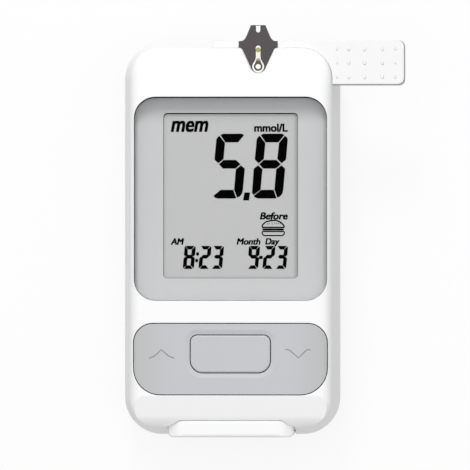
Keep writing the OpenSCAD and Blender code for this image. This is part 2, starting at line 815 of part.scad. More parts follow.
// Points on a conical coil that starts and ends flat. It runs along +Y from the origin.
coil_n = 20;
coil_turns = 3;
coil_wire = 0.3;
function coil_r(u) = 3.6 - 1.3 * u;
function coil_y(u) = coil_wire + (spring_l - 2 * coil_wire) * max(0, min(1, (u - 0.12) / 0.8));
function coil_at(u) = [coil_r(u) * cos(360 * coil_turns * u), coil_y(u),
                       coil_r(u) * sin(360 * coil_turns * u)];
coil_gap = min([for (k = [0 : coil_n * (coil_turns - 1)])
    let (u = k / (coil_n * coil_turns), v = u + 1 / coil_turns) norm(coil_at(v) - coil_at(u))])
    - 2 * coil_wire;
echo(least_gap_between_turns_of_a_battery_spring = coil_gap);

module coil() {
    n = coil_n * coil_turns;
    m = 6;
    rings = [for (k = [0 : n]) let (u = k / n, a = 360 * coil_turns * u, c = coil_at(u))
        [for (j = [0 : m - 1]) let (b = 360 * j / m)
            [c[0] + coil_wire * cos(b) * cos(a), c[1] + coil_wire * sin(b),
             c[2] + coil_wire * cos(b) * sin(a)]]];
    polyhedron(
        points = [for (ring = rings) each ring],
        faces = concat(
            [[for (j = [0 : m - 1]) j]],
            [for (k = [0 : n - 1], j = [0 : m - 1])
                each [[k * m + j, (k + 1) * m + j, (k + 1) * m + (j + 1) % m],
                      [k * m + j, (k + 1) * m + (j + 1) % m, k * m + (j + 1) % m]]],
            [[for (j = [m - 1 : -1 : 0]) n * m + j]]));
}

module battery_springs() {
    x = (cell_d + cell_gap) / 2;
    color([0.75, 0.75, 0.77]) {
        translate([-x, well_foot + plate_t, cell_z]) coil();
        translate([x, well_head - plate_t, cell_z]) rotate([0, 0, 180]) coil();
    }
}

module housing_screws() {
    color([0.6, 0.6, 0.62]) screw_places() translate([0, 0, 9]) difference() {
        union() {
            translate([0, 0, -1.3]) cylinder(r = 1.9 * screw_r, h = 1.3);
            cylinder(r = screw_r, h = board_top + 1.9 - 9);
        }
        for (a = [0, 90])
            rotate([0, 0, a]) translate([-1.2, -0.2, -1.4]) cube([2.4, 0.4, 0.8]);
    }
}

// The strip's flat body from above, without its openings.
module strip_plan() {
    l = strip_out + end_y - port_y;
    translate([strip_x, port_y]) {
        translate([-tongue_w / 2, -tongue_l]) square([tongue_w, tongue_l + 1]);
        translate([-wing_l, 0.1]) square([wing_l + grip_x - grip_r, l - 0.1]);
    }
    film_reach();
}

module film_reach() {
    translate([strip_x, port_y]) intersection() {
        film_plan(0);
        translate([-ear_x, -0.3]) square([2 * ear_x, film_nose + 1]);
    }
}

module strip_body() {
    color(white) difference() {
        union() {
            translate([0, 0, strip_z]) linear_extrude(strip_t) strip_plan();
            // Grip that wraps the cover's corner, on a base layer that shows past two of its edges
            difference() {
                union() {
                    grip_layer(0, base_t);
                    grip_layer(base_lap, strip_t);
                }
                translate([0, 0, strip_z - 1])
                    plate(cover_w + 0.25, cover_l + 0.2, cover_r + 0.1, 3);
            }
        }
        // Blood inlet at the nose and the round eye
        strip_openings();
        // Grooves for the electrodes
        electrode_tracks(strip_z - 1, 1.1);
    }
}

// One layer of the grip, cut back by b at its right and lower edges.
module grip_layer(b, h) {
    left = cover_w / 2 - cover_r;
    right = strip_x + grip_x - b;
    translate([(left + right) / 2, end_y + strip_out - (grip_h - b) / 2, strip_z])
        plate(right - left, grip_h - b, grip_r, h);
}

module strip_openings() {
    translate([strip_x, port_y, strip_z - 1]) {
        translate([-sip_w / 2, film_nose - sip_l + sip_w / 2, 0]) cube([sip_w, 5, 4]);
        translate([0, film_nose - sip_l + sip_w / 2, 0]) cylinder(r = sip_w / 2, h = 4);
        translate([0, -film_tail, 0]) cylinder(r = eye_r, h = 4);
    }
}

module electrode_tracks(z, h) {
    for (k = [0 : 3])
        translate([strip_x - 3 + 2 * k - 0.5, port_y - tongue_l + 0.3, z]) cube([1, tongue_l - 1.8, h]);
}

module strip_film() {
    color(dark) difference() {
        film_block(0, strip_top, film_t);
        strip_openings();
    }
}

module strip_electrodes() {
    color(gold) intersection() {
        electrode_tracks(strip_z, 0.1);
        difference() {
            translate([strip_x - far, -far, strip_z]) cube([2 * far, 2 * far, 1]);
            strip_openings();
        }
    }
}

front_cover();
rear_cover();
battery_door();
display_lens();
display_mask();
display_glass();
glass_holder();
elastomer_connectors();
rocker_key();
middle_key();
key_mat();
snap_domes();
circuit_board();
processor_chip();
radio_module();
buzzer();
strip_connector();
contact_springs();
battery_cell_left();
battery_cell_right();
battery_plates();
battery_springs();
housing_screws();
strip_body();
strip_film();
strip_electrodes();
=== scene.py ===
import math

import bmesh
import bpy
from mathutils import Matrix, Vector


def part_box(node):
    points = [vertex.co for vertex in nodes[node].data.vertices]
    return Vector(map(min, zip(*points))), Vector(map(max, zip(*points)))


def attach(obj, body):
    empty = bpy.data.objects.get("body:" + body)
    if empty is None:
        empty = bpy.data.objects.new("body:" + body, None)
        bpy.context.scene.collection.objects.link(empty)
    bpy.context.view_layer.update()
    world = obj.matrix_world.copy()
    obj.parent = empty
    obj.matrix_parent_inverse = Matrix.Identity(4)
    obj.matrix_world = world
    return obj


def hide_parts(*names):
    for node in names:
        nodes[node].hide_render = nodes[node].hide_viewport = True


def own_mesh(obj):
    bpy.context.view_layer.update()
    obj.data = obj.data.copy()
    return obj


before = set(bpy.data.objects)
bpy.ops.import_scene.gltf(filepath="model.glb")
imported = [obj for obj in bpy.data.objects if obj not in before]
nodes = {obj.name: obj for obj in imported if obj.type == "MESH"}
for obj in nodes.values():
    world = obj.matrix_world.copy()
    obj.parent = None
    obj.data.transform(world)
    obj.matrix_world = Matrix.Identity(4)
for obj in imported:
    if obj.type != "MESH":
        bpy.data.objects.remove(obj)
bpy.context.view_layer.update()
mm = 0.001
print("frame loaded:", len(nodes), "parts")

# ---- camera, lamps and floor

viewValues = {
    "target": (1.13, 0.80, 20.0),  # mm, what the middle of the picture shows
    "tilt": 2.3,                   # degrees off the vertical, towards +X
    "distance": 2400.0,            # mm
    "span": 112.8,                 # mm across the picture at the target
}


def makeCamera(values):
    tilt = math.radians(values["tilt"])
    back = Vector((math.sin(tilt), 0, math.cos(tilt)))
    side = Vector((0, 1, 0)).cross(back)
    data = bpy.data.cameras.new("camera")
    data.sensor_width = 36
    data.lens = 36 * values["distance"] / values["span"]
    data.clip_start = 0.01
    camera = bpy.data.objects.new("camera", data)
    turn = Matrix((side, back.cross(side), back)).transposed().to_4x4()
    place = (Vector(values["target"]) + back * values["distance"]) * mm
    camera.matrix_world = Matrix.Translation(place) @ turn
    bpy.context.scene.collection.objects.link(camera)
    bpy.context.scene.camera = camera


lampValues = {
    "key": {"place": (-0.12, 0.80, 0.50), "size": 0.30, "watts": 4.0},
    "fill": {"place": (0.75, -0.25, 0.60), "size": 0.80, "watts": 0.4},
    "skyLow": 0.30,       # strength of the world's light at the horizon
    "skyHigh": 1.07,      # and straight above
    "skyShown": 0.97,     # grey of the sky that the camera and shiny faces see
    "overhead": 0.10,     # strength of the dark patch round the camera that shiny faces mirror
    "overheadRise": (0.85, 0.98),   # where it starts and is full, as the rise of the direction
    "floorShown": 0.98,   # colour of the floor as the camera sees it
    "floorBounce": 0.36,  # colour of the floor as the object sees it
    "floorGlow": 0.86,    # share of the shown floor that is free of shadow
    "floorReach": 2.5,    # m from the middle to the floor's sides
}


def makeLamp(name, place, size, watts):
    data = bpy.data.lights.new(name, "AREA")
    data.shape = "DISK"
    data.size = size
    data.energy = watts
    lamp = bpy.data.objects.new(name, data)
    away = Vector(place)
    lamp.matrix_world = Matrix.Translation(away) @ away.to_track_quat("Z", "Y").to_matrix().to_4x4()
    bpy.context.scene.collection.objects.link(lamp)


def addNode(tree, kind, place=(0, 0), inputs=None, **settings):
    # Each input is a plain value or the socket that feeds it
    node = tree.nodes.new(kind)
    node.location = place
    for key, value in settings.items():
        setattr(node, key, value)
    for key, value in (inputs or {}).items():
        if isinstance(value, bpy.types.NodeSocket):
            tree.links.new(value, node.inputs[key])
        else:
            node.inputs[key].default_value = value
    return node


def mathOf(tree, operation, place, *inputs):
    # The result of a math node, from plain values or sockets
    return addNode(tree, "ShaderNodeMath", place, dict(enumerate(inputs)), operation=operation).outputs[0]


def mixShaders(tree, factor, first, second, place):
    return addNode(tree, "ShaderNodeMixShader", place,
                   {0: factor, 1: first, 2: second}).outputs[0]


def grey(value):
    return (value, value, value, 1)


def seenByEye(tree, place):
    # 1 for camera, glossy and transmission rays
    rays = addNode(tree, "ShaderNodeLightPath", place).outputs
    first = mathOf(tree, "MAXIMUM", (place[0] + 180, place[1]), rays["Is Camera Ray"],
                   rays["Is Glossy Ray"])
    return mathOf(tree, "MAXIMUM", (place[0] + 360, place[1]), first, rays["Is Transmission Ray"])


def makeSky(values):
    world = bpy.data.worlds.new("studio")
    world.use_nodes = True
    tree = world.node_tree
    tree.nodes.clear()
    where = addNode(tree, "ShaderNodeTexCoord", (-800, -100))
    split = addNode(tree, "ShaderNodeSeparateXYZ", (-600, -100), {0: where.outputs["Generated"]})
    rise = addNode(tree, "ShaderNodeMapRange", (-400, -100),
                   {"Value": split.outputs["Z"], "To Min": values["skyLow"],
                    "To Max": values["skyHigh"]})
    low, high = values["overheadRise"]
    dim = addNode(tree, "ShaderNodeMapRange", (-400, -400),
                  {"Value": split.outputs["Z"], "From Min": low, "From Max": high,
                   "To Min": values["skyShown"], "To Max": values["overhead"]})
    light, shown, mirrored = (
        addNode(tree, "ShaderNodeBackground", (0, -160 * k), inputs).outputs[0] for k, inputs in
        enumerate(({"Color": grey(1), "Strength": rise.outputs[0]},
                   {"Color": grey(values["skyShown"]), "Strength": 1.0},
                   {"Color": grey(1), "Strength": dim.outputs[0]})))
    rays = addNode(tree, "ShaderNodeLightPath", (0, 300)).outputs
    mixed = mixShaders(tree, seenByEye(tree, (-600, 200)), light, shown, (240, 0))
    last = mixShaders(tree, rays["Is Glossy Ray"], mixed, mirrored, (440, 0))
    addNode(tree, "ShaderNodeOutputWorld", (640, 0), {0: last})
    bpy.context.scene.world = world


def makeFloor(values):
    material = bpy.data.materials.new("studioFloor")
    material.use_nodes = True
    tree = material.node_tree
    tree.nodes.clear()
    shown, bounce = grey(values["floorShown"]), grey(values["floorBounce"])
    paint = addNode(tree, "ShaderNodeBsdfDiffuse", (0, 100), {"Color": shown}).outputs[0]
    shine = addNode(tree, "ShaderNodeEmission", (0, -40), {"Color": shown}).outputs[0]
    dull = addNode(tree, "ShaderNodeBsdfDiffuse", (0, 240), {"Color": bounce}).outputs[0]
    bright = mixShaders(tree, values["floorGlow"], paint, shine, (200, 0))
    last = mixShaders(tree, seenByEye(tree, (-600, 300)), dull, bright, (400, 100))
    addNode(tree, "ShaderNodeOutputMaterial", (600, 100), {0: last})
    mesh = bpy.data.meshes.new("floor")
    s = values["floorReach"]
    mesh.from_pydata([(-s, -s, 0), (s, -s, 0), (s, s, 0), (-s, s, 0)], [], [(0, 1, 2, 3)])
    floor = bpy.data.objects.new("floor", mesh)
    floor.data.materials.append(material)
    bpy.context.scene.collection.objects.link(floor)


makeCamera(viewValues)
for name in ("key", "fill"):
    makeLamp(name, **lampValues[name])
makeSky(lampValues)
makeFloor(lampValues)
bpy.context.scene.view_settings.view_transform = "Standard"
print("stage ready")

# ---- shared effects


def makeMouldedSkin():
    # Fine grain, slow shade change and softened edges of a moulded or printed surface
    group = bpy.data.node_groups.new("mouldedSkin", "ShaderNodeTree")
    for label, value in (("Grain Scale", 4000.0), ("Grain Depth", 0.1), ("Roughness", 0.4),
                         ("Roughness Spread", 0.06), ("Shade Spread", 0.02), ("Edge Radius", 0.0002)):
        socket = group.interface.new_socket(name=label, in_out="INPUT", socket_type="NodeSocketFloat")
        socket.default_value = value
    for label, kind in (("Shade", "Float"), ("Roughness", "Float"), ("Edge", "Float"),
                        ("Normal", "Vector")):
        group.interface.new_socket(name=label, in_out="OUTPUT", socket_type="NodeSocket" + kind)
    start = addNode(group, "NodeGroupInput", (-900, 0)).outputs
    where = addNode(group, "ShaderNodeTexCoord", (-900, 300)).outputs["Object"]
    slow = addNode(group, "ShaderNodeTexNoise", (-600, 400),
                   {"Vector": where, "Scale": 45.0, "Detail": 3.0}).outputs[0]
    grain = addNode(group, "ShaderNodeTexNoise", (-600, 150),
                    {"Vector": where, "Scale": start["Grain Scale"], "Detail": 2.0,
                     "Roughness": 0.6}).outputs[0]
    both = mathOf(group, "ADD", (-300, 250), mathOf(group, "SUBTRACT", (-450, 400), slow, 0.5),
                  mathOf(group, "SUBTRACT", (-450, 150), grain, 0.5))
    soft = addNode(group, "ShaderNodeBevel", (-300, -200), {"Radius": start["Edge Radius"]},
                   samples=4).outputs[0]
    bump = addNode(group, "ShaderNodeBump", (300, -100),
                   {"Distance": 0.00002, "Strength": start["Grain Depth"], "Height": grain,
                    "Normal": soft})
    face = addNode(group, "ShaderNodeNewGeometry", (-300, -350))
    dot = addNode(group, "ShaderNodeVectorMath", (-100, -300), {0: soft, 1: face.outputs["Normal"]},
                  operation="DOT_PRODUCT")
    edge = addNode(group, "ShaderNodeMapRange", (100, -300),
                   {"Value": dot.outputs["Value"], "From Min": 0.99, "From Max": 0.8, "To Min": 0.0,
                    "To Max": 1.0})
    addNode(group, "NodeGroupOutput", (900, 0), {
        "Shade": mathOf(group, "MULTIPLY_ADD", (0, 400), both, start["Shade Spread"], 1.0),
        "Roughness": mathOf(group, "MULTIPLY_ADD", (0, 200), both, start["Roughness Spread"],
                            start["Roughness"]),
        "Edge": edge.outputs[0], "Normal": bump.outputs[0]})
    return group


mouldedSkin = makeMouldedSkin()


def startMaterial(name, skin, **fixed):
    # A Principled BSDF fed by the shared skin. Fixed holds plain socket values.
    material = bpy.data.materials.new(name)
    material.use_nodes = True
    tree = material.node_tree
    tree.nodes.clear()
    group = addNode(tree, "ShaderNodeGroup", (-300, 0), node_tree=mouldedSkin)
    for key, value in skin.items():
        group.inputs[key].default_value = value
    inputs = {key.replace("_", " "): value for key, value in fixed.items()}
    inputs.update({key: group.outputs[key] for key in ("Roughness", "Normal")})
    shader = addNode(tree, "ShaderNodeBsdfPrincipled", (600, 0), inputs)
    addNode(tree, "ShaderNodeOutputMaterial", (900, 0), {0: shader.outputs[0]})
    return material, tree, shader, group


def mixColours(tree, factor, first, second, place):
    first, second = (c + (1,) if isinstance(c, tuple) else c for c in (first, second))
    return addNode(tree, "ShaderNodeMix", place, {0: factor, 6: first, 7: second},
                   data_type="RGBA", clamp_factor=True).outputs[2]


def paintSkin(started, colour, edge=None):
    # The colour times the skin's slow shade, and another colour on the edges where one is given
    material, tree, shader, group = started
    shaded = addNode(tree, "ShaderNodeVectorMath", (100, 200),
                     {0: colour, "Scale": group.outputs["Shade"]}, operation="SCALE").outputs[0]
    if edge:
        shaded = mixColours(tree, group.outputs["Edge"], shaded, edge, (300, 200))
    tree.links.new(shaded, shader.inputs["Base Color"])
    return material


def objectPoint(tree, place):
    return addNode(tree, "ShaderNodeTexCoord", place).outputs["Object"]


def coordinate(tree, axis, place):
    # One axis of the Object coordinates
    return addNode(tree, "ShaderNodeSeparateXYZ", (place[0] + 180, place[1]),
                   {0: objectPoint(tree, place)}).outputs[axis]


def within(tree, axis, low, high, place):
    # 1 between two places on an axis, in mm
    return mathOf(tree, "COMPARE", (place[0] + 360, place[1]), coordinate(tree, axis, place),
                  (low + high) / 2 * mm, (high - low) / 2 * mm)


def inBox(tree, low, high, place):
    # 1 inside a box in mm
    x, y, z = (within(tree, axis, low[k], high[k], (place[0], place[1] - 160 * k))
               for k, axis in enumerate("XYZ"))
    both = mathOf(tree, "MULTIPLY", (place[0] + 560, place[1]), x, y)
    return mathOf(tree, "MULTIPLY", (place[0] + 740, place[1]), both, z)


def alongAxis(tree, axis, low, high, place, mirrored=False):
    # 0 to 1 along an axis, from low to high in mm
    value = coordinate(tree, axis, place)
    if mirrored:
        value = mathOf(tree, "ABSOLUTE", (place[0] + 300, place[1] - 120), value)
    return addNode(tree, "ShaderNodeMapRange", (place[0] + 360, place[1]),
                   {"Value": value, "From Min": low * mm, "From Max": high * mm},
                   interpolation_type="SMOOTHSTEP").outputs[0]


def linear(r, g, b):
    # Screen colour 0 to 255, as a linear colour
    return tuple(((c / 255 + 0.055) / 1.055) ** 2.4 if c > 10 else c / 255 / 12.92 for c in (r, g, b))


# ---- finishes

shellWhite = {
    "colour": (0.935, 0.936, 0.937), "edge": (0.95, 0.95, 0.95),
    "skin": {"Grain Scale": 5200.0, "Grain Depth": 0.12, "Roughness": 0.36,
             "Roughness Spread": 0.10, "Shade Spread": 0.012, "Edge Radius": 0.00025},
    "shader": {"IOR": 1.4},
}
plasticValues = {
    "shellWhite": shellWhite,
    # The finger tab's edges are softer
    "doorWhite": dict(shellWhite, skin=dict(shellWhite["skin"], **{"Edge Radius": 0.0009})),
    "holderWhite": {"colour": (0.80, 0.80, 0.77), "edge": (0.86, 0.86, 0.83),
                    "skin": {"Grain Scale": 3000.0, "Grain Depth": 0.2, "Roughness": 0.5,
                             "Edge Radius": 0.0001},
                    "shader": {"IOR": 1.5}},
    "siliconeGrey": {"colour": (0.62, 0.64, 0.66), "edge": (0.70, 0.72, 0.74),
                     "skin": {"Grain Scale": 2500.0, "Grain Depth": 0.25, "Roughness": 0.62,
                              "Edge Radius": 0.0001},
                     "shader": {"IOR": 1.41, "Subsurface_Weight": 0.2,
                                "Subsurface_Scale": 0.0008}},
    "packageBlack": {"colour": (0.018, 0.018, 0.019), "edge": (0.05, 0.05, 0.05),
                     "skin": {"Grain Scale": 9000.0, "Grain Depth": 0.6, "Roughness": 0.55,
                              "Shade Spread": 0.25, "Edge Radius": 0.0001},
                     "shader": {"IOR": 1.55}},
}
finishes = {}
for name, values in plasticValues.items():
    finishes[name] = paintSkin(startMaterial(name, values["skin"], **values["shader"]),
                               values["colour"], values["edge"])

wellValues = {
    "recess": ((-23.3, -15.1, 10.0), (23.3, 34.1, 19.90)),
    "keys": ((-23.5, -37.8, 10.0), (23.5, -20.2, 19.85)),
    "seat": 17.6, "seatFoot": -14.0,       # mm, below and beyond them the recess floor is painted near black, as shade in the gap round the display
    "recessWallShade": (0.25, 0.32, 0.85),     # painted shade on the walls: darkest at the strip end, lighter at the sides, palest at the key end
    # Painted shade: the key well's walls dark all round, the display recess floor near black
    "keyWallShade": (0.10, 0.10, 0.10), "recessFloorShade": (0.03, 0.03, 0.03),
    "inward": -0.004,                      # m, walls face the middle of their well this much
}


def makeShellFront(shell, values):
    # The shell's white, with painted shade on the walls of the display recess and of the key well, and on
    # the recess floor
    material = shell.copy()
    material.name = "shellFront"
    tree = material.node_tree
    shader = next(n for n in tree.nodes if n.type == "BSDF_PRINCIPLED")
    white = shader.inputs["Base Color"].links[0].from_socket
    face = addNode(tree, "ShaderNodeNewGeometry", (-1900, 400)).outputs["True Normal"]
    split = addNode(tree, "ShaderNodeSeparateXYZ", (-1700, 400), {0: face})
    turn = mathOf(tree, "MULTIPLY_ADD", (-1500, 500), split.outputs["Y"], 0.5, 0.5)
    wallShades = addNode(tree, "ShaderNodeValToRGB", (-1300, 500), {0: turn})
    wallShades.color_ramp.elements.new(0.5)
    for point, place, shade in zip(wallShades.color_ramp.elements, (0.0, 0.5, 1.0), values["recessWallShade"]):
        point.position = place
        point.color = grey(shade)
    where = objectPoint(tree, (-1900, 200))

    def onWalls(x, y, box):
        def vector(dx, operation, *inputs):
            return addNode(tree, "ShaderNodeVectorMath", (x - dx, y - 200), dict(enumerate(inputs)),
                           operation=operation)
        middle = [(a + b) / 2 * mm for a, b in zip(*box)]
        away = vector(600, "SUBTRACT", where, middle)
        flat = vector(450, "MULTIPLY", away.outputs[0], (1, 1, 0))
        dot = vector(300, "DOT_PRODUCT", flat.outputs[0], face)
        inward = mathOf(tree, "LESS_THAN", (x - 150, y - 200), dot.outputs["Value"], values["inward"])
        return mathOf(tree, "MULTIPLY", (x, y), inward, inBox(tree, *box, (x - 1200, y)))

    low, high = values["recess"]
    # Painted shade on the recess walls, darkest where they face the strip end
    recess = mixColours(tree, onWalls(0, 800, (low, high)), white, wallShades.outputs[0], (200, 600))
    keys = mixColours(tree, onWalls(0, 1400, values["keys"]), recess, values["keyWallShade"], (350, 600))
    floor = inBox(tree, (low[0], values["seatFoot"], low[2]), (high[0], high[1], values["seat"]),
                  (-1200, 2000))
    # Painted shade: the recess floor round the display near black
    floorShaded = mixColours(tree, floor, keys, values["recessFloorShade"], (500, 600))
    tree.links.new(floorShaded, shader.inputs["Base Color"])
    return material


keyValues = {
    "middle": linear(194, 196, 199.5), "side": linear(187.5, 188.5, 189),
    "edge": linear(170, 172, 175),
    "sideBand": (12, 24),      # mm from the middle, where the side's colour begins and is full
    "skin": {"Grain Scale": 7000.0, "Grain Depth": 0.22, "Roughness": 0.48,
             "Roughness Spread": 0.08, "Shade Spread": 0.03, "Edge Radius": 0.0001},
}


def makeKeyGrey(values):
    started = startMaterial("keyGrey", values["skin"], IOR=1.4)
    tree = started[1]
    side = alongAxis(tree, "X", *values["sideBand"], (-900, 300), mirrored=True)
    colour = mixColours(tree, side, values["middle"], values["side"], (-200, 300))
    return paintSkin(started, colour, values["edge"])


maskValues = {
    "colour": linear(205, 206, 207), "foot": linear(208, 209, 210), "footBand": (34, -15),
    "shaded": linear(192, 193, 194), "shadedBand": (27.0, 31.0),     # mm, towards the strip end: a painted shadow from the recess's top wall
    "rim": linear(176, 177, 178), "rimBand": (21.9, 23.2),           # mm, at the two sides: painted shade along the recess's side walls
    "skin": {"Grain Scale": 9000.0, "Grain Depth": 0.1, "Roughness": 0.5, "Shade Spread": 0.03,
             "Edge Radius": 0.00005},
}


def makeMaskGrey(values):
    started = startMaterial("maskGrey", values["skin"], IOR=1.45)
    tree = started[1]
    # Paler towards the key end; painted shadow below the strip-end wall and painted shade along the side
    # walls
    colour = values["colour"]
    for k, (name, axis) in enumerate((("foot", "Y"), ("shaded", "Y"), ("rim", "X"))):
        share = alongAxis(tree, axis, *values[name + "Band"], (-900, 300 + 300 * k),
                          mirrored=axis == "X")
        colour = mixColours(tree, share, colour, values[name], (-400 + 200 * k, 300))
    return paintSkin(started, colour)


glassValues = {
    "colour": linear(195.5, 196, 195.5), "fleck": linear(207, 208, 206.5),
    "rightShade": linear(152, 153, 153), "rightShadeBand": (14.7, 16.6),     # mm, at the right edge: painted shade
    "skin": {"Grain Scale": 2500.0, "Grain Depth": 0.05, "Roughness": 0.42, "Shade Spread": 0.015,
             "Edge Radius": 0.00005},
}


def makeDisplayGrey(values):
    # The reflector behind a reflective display: grey with a fine fleck, darkened towards its right edge
    # as painted shade
    started = startMaterial("displayGrey", values["skin"], IOR=1.2)
    tree = started[1]
    fleck = addNode(tree, "ShaderNodeTexVoronoi", (-700, 300),
                    {"Vector": objectPoint(tree, (-900, 300)), "Scale": 9000.0})
    mask = addNode(tree, "ShaderNodeMapRange", (-450, 300),
                   {"Value": fleck.outputs["Distance"], "From Min": 0.5, "From Max": 0.0,
                    "To Max": 0.5})
    colour = mixColours(tree, mask.outputs[0], values["colour"], values["fleck"], (-200, 300))
    right = alongAxis(tree, "X", *values["rightShadeBand"], (-900, 600))
    return paintSkin(started, mixColours(tree, right, colour, values["rightShade"], (0, 400)))


lensValues = {
    "colour": (0.99, 0.995, 0.995), "passed": 0.96,   # share of the light that goes straight through
    "skin": {"Grain Scale": 600.0, "Grain Depth": 0.0, "Roughness": 0.03,
             "Roughness Spread": 0.03, "Edge Radius": 0.00008},
    "ior": 1.12,   # low, as its surfaces are coated against glare
}


def makeLensClear(values):
    # Clear acrylic. Shadow and diffuse rays pass straight through.
    started = startMaterial("lensClear", values["skin"], IOR=values["ior"], Transmission_Weight=1.0)
    tree, shader = started[1:3]
    rays = addNode(tree, "ShaderNodeLightPath", (300, 400)).outputs
    either = mathOf(tree, "MAXIMUM", (500, 400), rays["Is Shadow Ray"], rays["Is Diffuse Ray"])
    clear = addNode(tree, "ShaderNodeBsdfTransparent", (600, 200), {"Color": grey(values["passed"])})
    out = next(n for n in tree.nodes if n.type == "OUTPUT_MATERIAL")
    out.location = (1000, 0)
    tree.links.new(mixShaders(tree, either, shader.outputs[0], clear.outputs[0], (800, 200)),
                   out.inputs[0])
    return paintSkin(started, values["colour"])


metalValues = {
    "steel": {"colour": (0.60, 0.60, 0.61), "dark": (0.42, 0.42, 0.44), "rough": 0.28},
    "contactGold": {"colour": (0.83, 0.62, 0.28), "dark": (0.62, 0.44, 0.20), "rough": 0.24},
}


def makeMetal(name, colour, dark, rough):
    skin = {"Grain Scale": 3500.0, "Grain Depth": 0.15, "Roughness": rough,
            "Roughness Spread": 0.15, "Shade Spread": 0.08, "Edge Radius": 0.00004}
    started = startMaterial(name, skin, Metallic=1.0)
    tree = started[1]
    squeeze = addNode(tree, "ShaderNodeMapping", (-900, 300),
                      {"Vector": objectPoint(tree, (-1100, 300)), "Scale": (300.0, 6000.0, 300.0)})
    lines = addNode(tree, "ShaderNodeTexNoise", (-700, 300),
                    {"Vector": squeeze.outputs[0], "Scale": 1.0, "Detail": 3.0})
    return paintSkin(started, mixColours(tree, lines.outputs[0], colour, dark, (-200, 300)))


boardValues = {
    "mask": (0.012, 0.11, 0.045), "track": (0.02, 0.19, 0.08), "pad": (0.62, 0.60, 0.52),
    "pitch": 2.2,  # mm between tracks
    "skin": {"Grain Scale": 2500.0, "Grain Depth": 0.3, "Roughness": 0.32, "Shade Spread": 0.1,
             "Edge Radius": 0.00008},
}


def makeBoardGreen(values):
    started = startMaterial("boardGreen", values["skin"], IOR=1.5, Coat_Weight=0.4,
                            Coat_Roughness=0.15)
    tree = started[1]
    where = objectPoint(tree, (-1300, 300))
    tracks = addNode(tree, "ShaderNodeTexBrick", (-1000, 300),
                     {"Vector": where, "Scale": 1.0, "Mortar Size": 0.00035, "Brick Width": 0.011,
                      "Row Height": values["pitch"] * mm, "Mortar Smooth": 0.2},
                     offset=0.37, squash=0.7, squash_frequency=3)
    vias = addNode(tree, "ShaderNodeTexVoronoi", (-1000, -50),
                   {"Vector": where, "Scale": 260.0, "Randomness": 0.8})
    dots = addNode(tree, "ShaderNodeMapRange", (-750, -50),
                   {"Value": vias.outputs["Distance"], "From Min": 0.13, "From Max": 0.10})
    green = mixColours(tree, tracks.outputs["Fac"], values["mask"], values["track"], (-450, 300))
    return paintSkin(started, mixColours(tree, dots.outputs[0], green, values["pad"], (-200, 300)))


cellValues = {
    "sleeve": (0.055, 0.058, 0.064), "band": (0.52, 0.30, 0.12), "metal": (0.62, 0.62, 0.63),
    "bandLength": 11.0,  # mm of coloured band at the nub's end
}


def makeCellSleeve(name, values, flat, nub):
    # flat and nub are the Y of the two ends, in mm
    skin = {"Grain Scale": 1800.0, "Grain Depth": 0.1, "Roughness": 0.28, "Roughness Spread": 0.1,
            "Shade Spread": 0.05, "Edge Radius": 0.0001}
    started = startMaterial(name, skin, Coat_Weight=0.5, Coat_Roughness=0.1)
    tree, shader = started[1:3]
    sense = 1 if nub > flat else -1
    band = alongAxis(tree, "Y", nub - sense * (values["bandLength"] + 0.1),
                     nub - sense * values["bandLength"], (-1300, 300))
    first = alongAxis(tree, "Y", nub - sense * 1.42, nub - sense * 1.38, (-1300, 0))
    last = alongAxis(tree, "Y", flat + sense * 0.62, flat + sense * 0.58, (-1300, -300))
    ends = mathOf(tree, "MAXIMUM", (-700, -100), first, last)
    sleeve = mixColours(tree, band, values["sleeve"], values["band"], (-450, 300))
    tree.links.new(ends, shader.inputs["Metallic"])
    return paintSkin(started, mixColours(tree, ends, sleeve, values["metal"], (-200, 300)))


def makeElastomer():
    # Carbon-filled layers between clear ones, along X
    skin = {"Grain Scale": 2500.0, "Grain Depth": 0.2, "Roughness": 0.6, "Edge Radius": 0.00005}
    started = startMaterial("elastomerStriped", skin, IOR=1.41)
    tree = started[1]
    bands = addNode(tree, "ShaderNodeTexWave", (-700, 300),
                    {"Vector": objectPoint(tree, (-900, 300)), "Scale": 900.0, "Distortion": 0.0},
                    bands_direction="X")
    return paintSkin(started, mixColours(tree, bands.outputs["Fac"], (0.04, 0.035, 0.04),
                                         (0.62, 0.30, 0.34), (-200, 300)))


stripValues = {
    # rim: the plate's edges paler, a painted highlight
    "white": linear(241, 241, 242), "rim": linear(250, 250, 250), "film": linear(84, 79, 81),
    "step": linear(176, 176, 176),  # the base layer's margin, painted with the shade that the plate above would cast
    "stepBand": (17.9, 18.16),      # mm, heights of that margin
    "skin": {"Grain Scale": 2600.0, "Grain Depth": 0.3, "Roughness": 0.42,
             "Roughness Spread": 0.1, "Shade Spread": 0.03, "Edge Radius": 0.0003},
    "filmSkin": {"Grain Scale": 9000.0, "Grain Depth": 0.3, "Roughness": 0.46,
                 "Shade Spread": 0.16, "Edge Radius": 0.00005},
}


def makeStripWhite(values):
    started = startMaterial("stripWhite", values["skin"], IOR=1.5)
    material, tree, shader = started[:3]
    # The plate's edges paler, as a painted highlight
    paintSkin(started, values["white"], values["rim"])
    rimmed = shader.inputs["Base Color"].links[0].from_socket
    # Painted shade on the base layer's upward-facing margin
    face = addNode(tree, "ShaderNodeNewGeometry", (-900, 600))
    split = addNode(tree, "ShaderNodeSeparateXYZ", (-700, 600), {0: face.outputs["True Normal"]})
    up = mathOf(tree, "GREATER_THAN", (-500, 600), split.outputs["Z"], 0.5)
    low = within(tree, "Z", *values["stepBand"], (-900, 800))
    step = mathOf(tree, "MULTIPLY", (-300, 700), up, low)
    tree.links.new(mixColours(tree, step, rimmed, values["step"], (450, 400)),
                   shader.inputs["Base Color"])
    return material


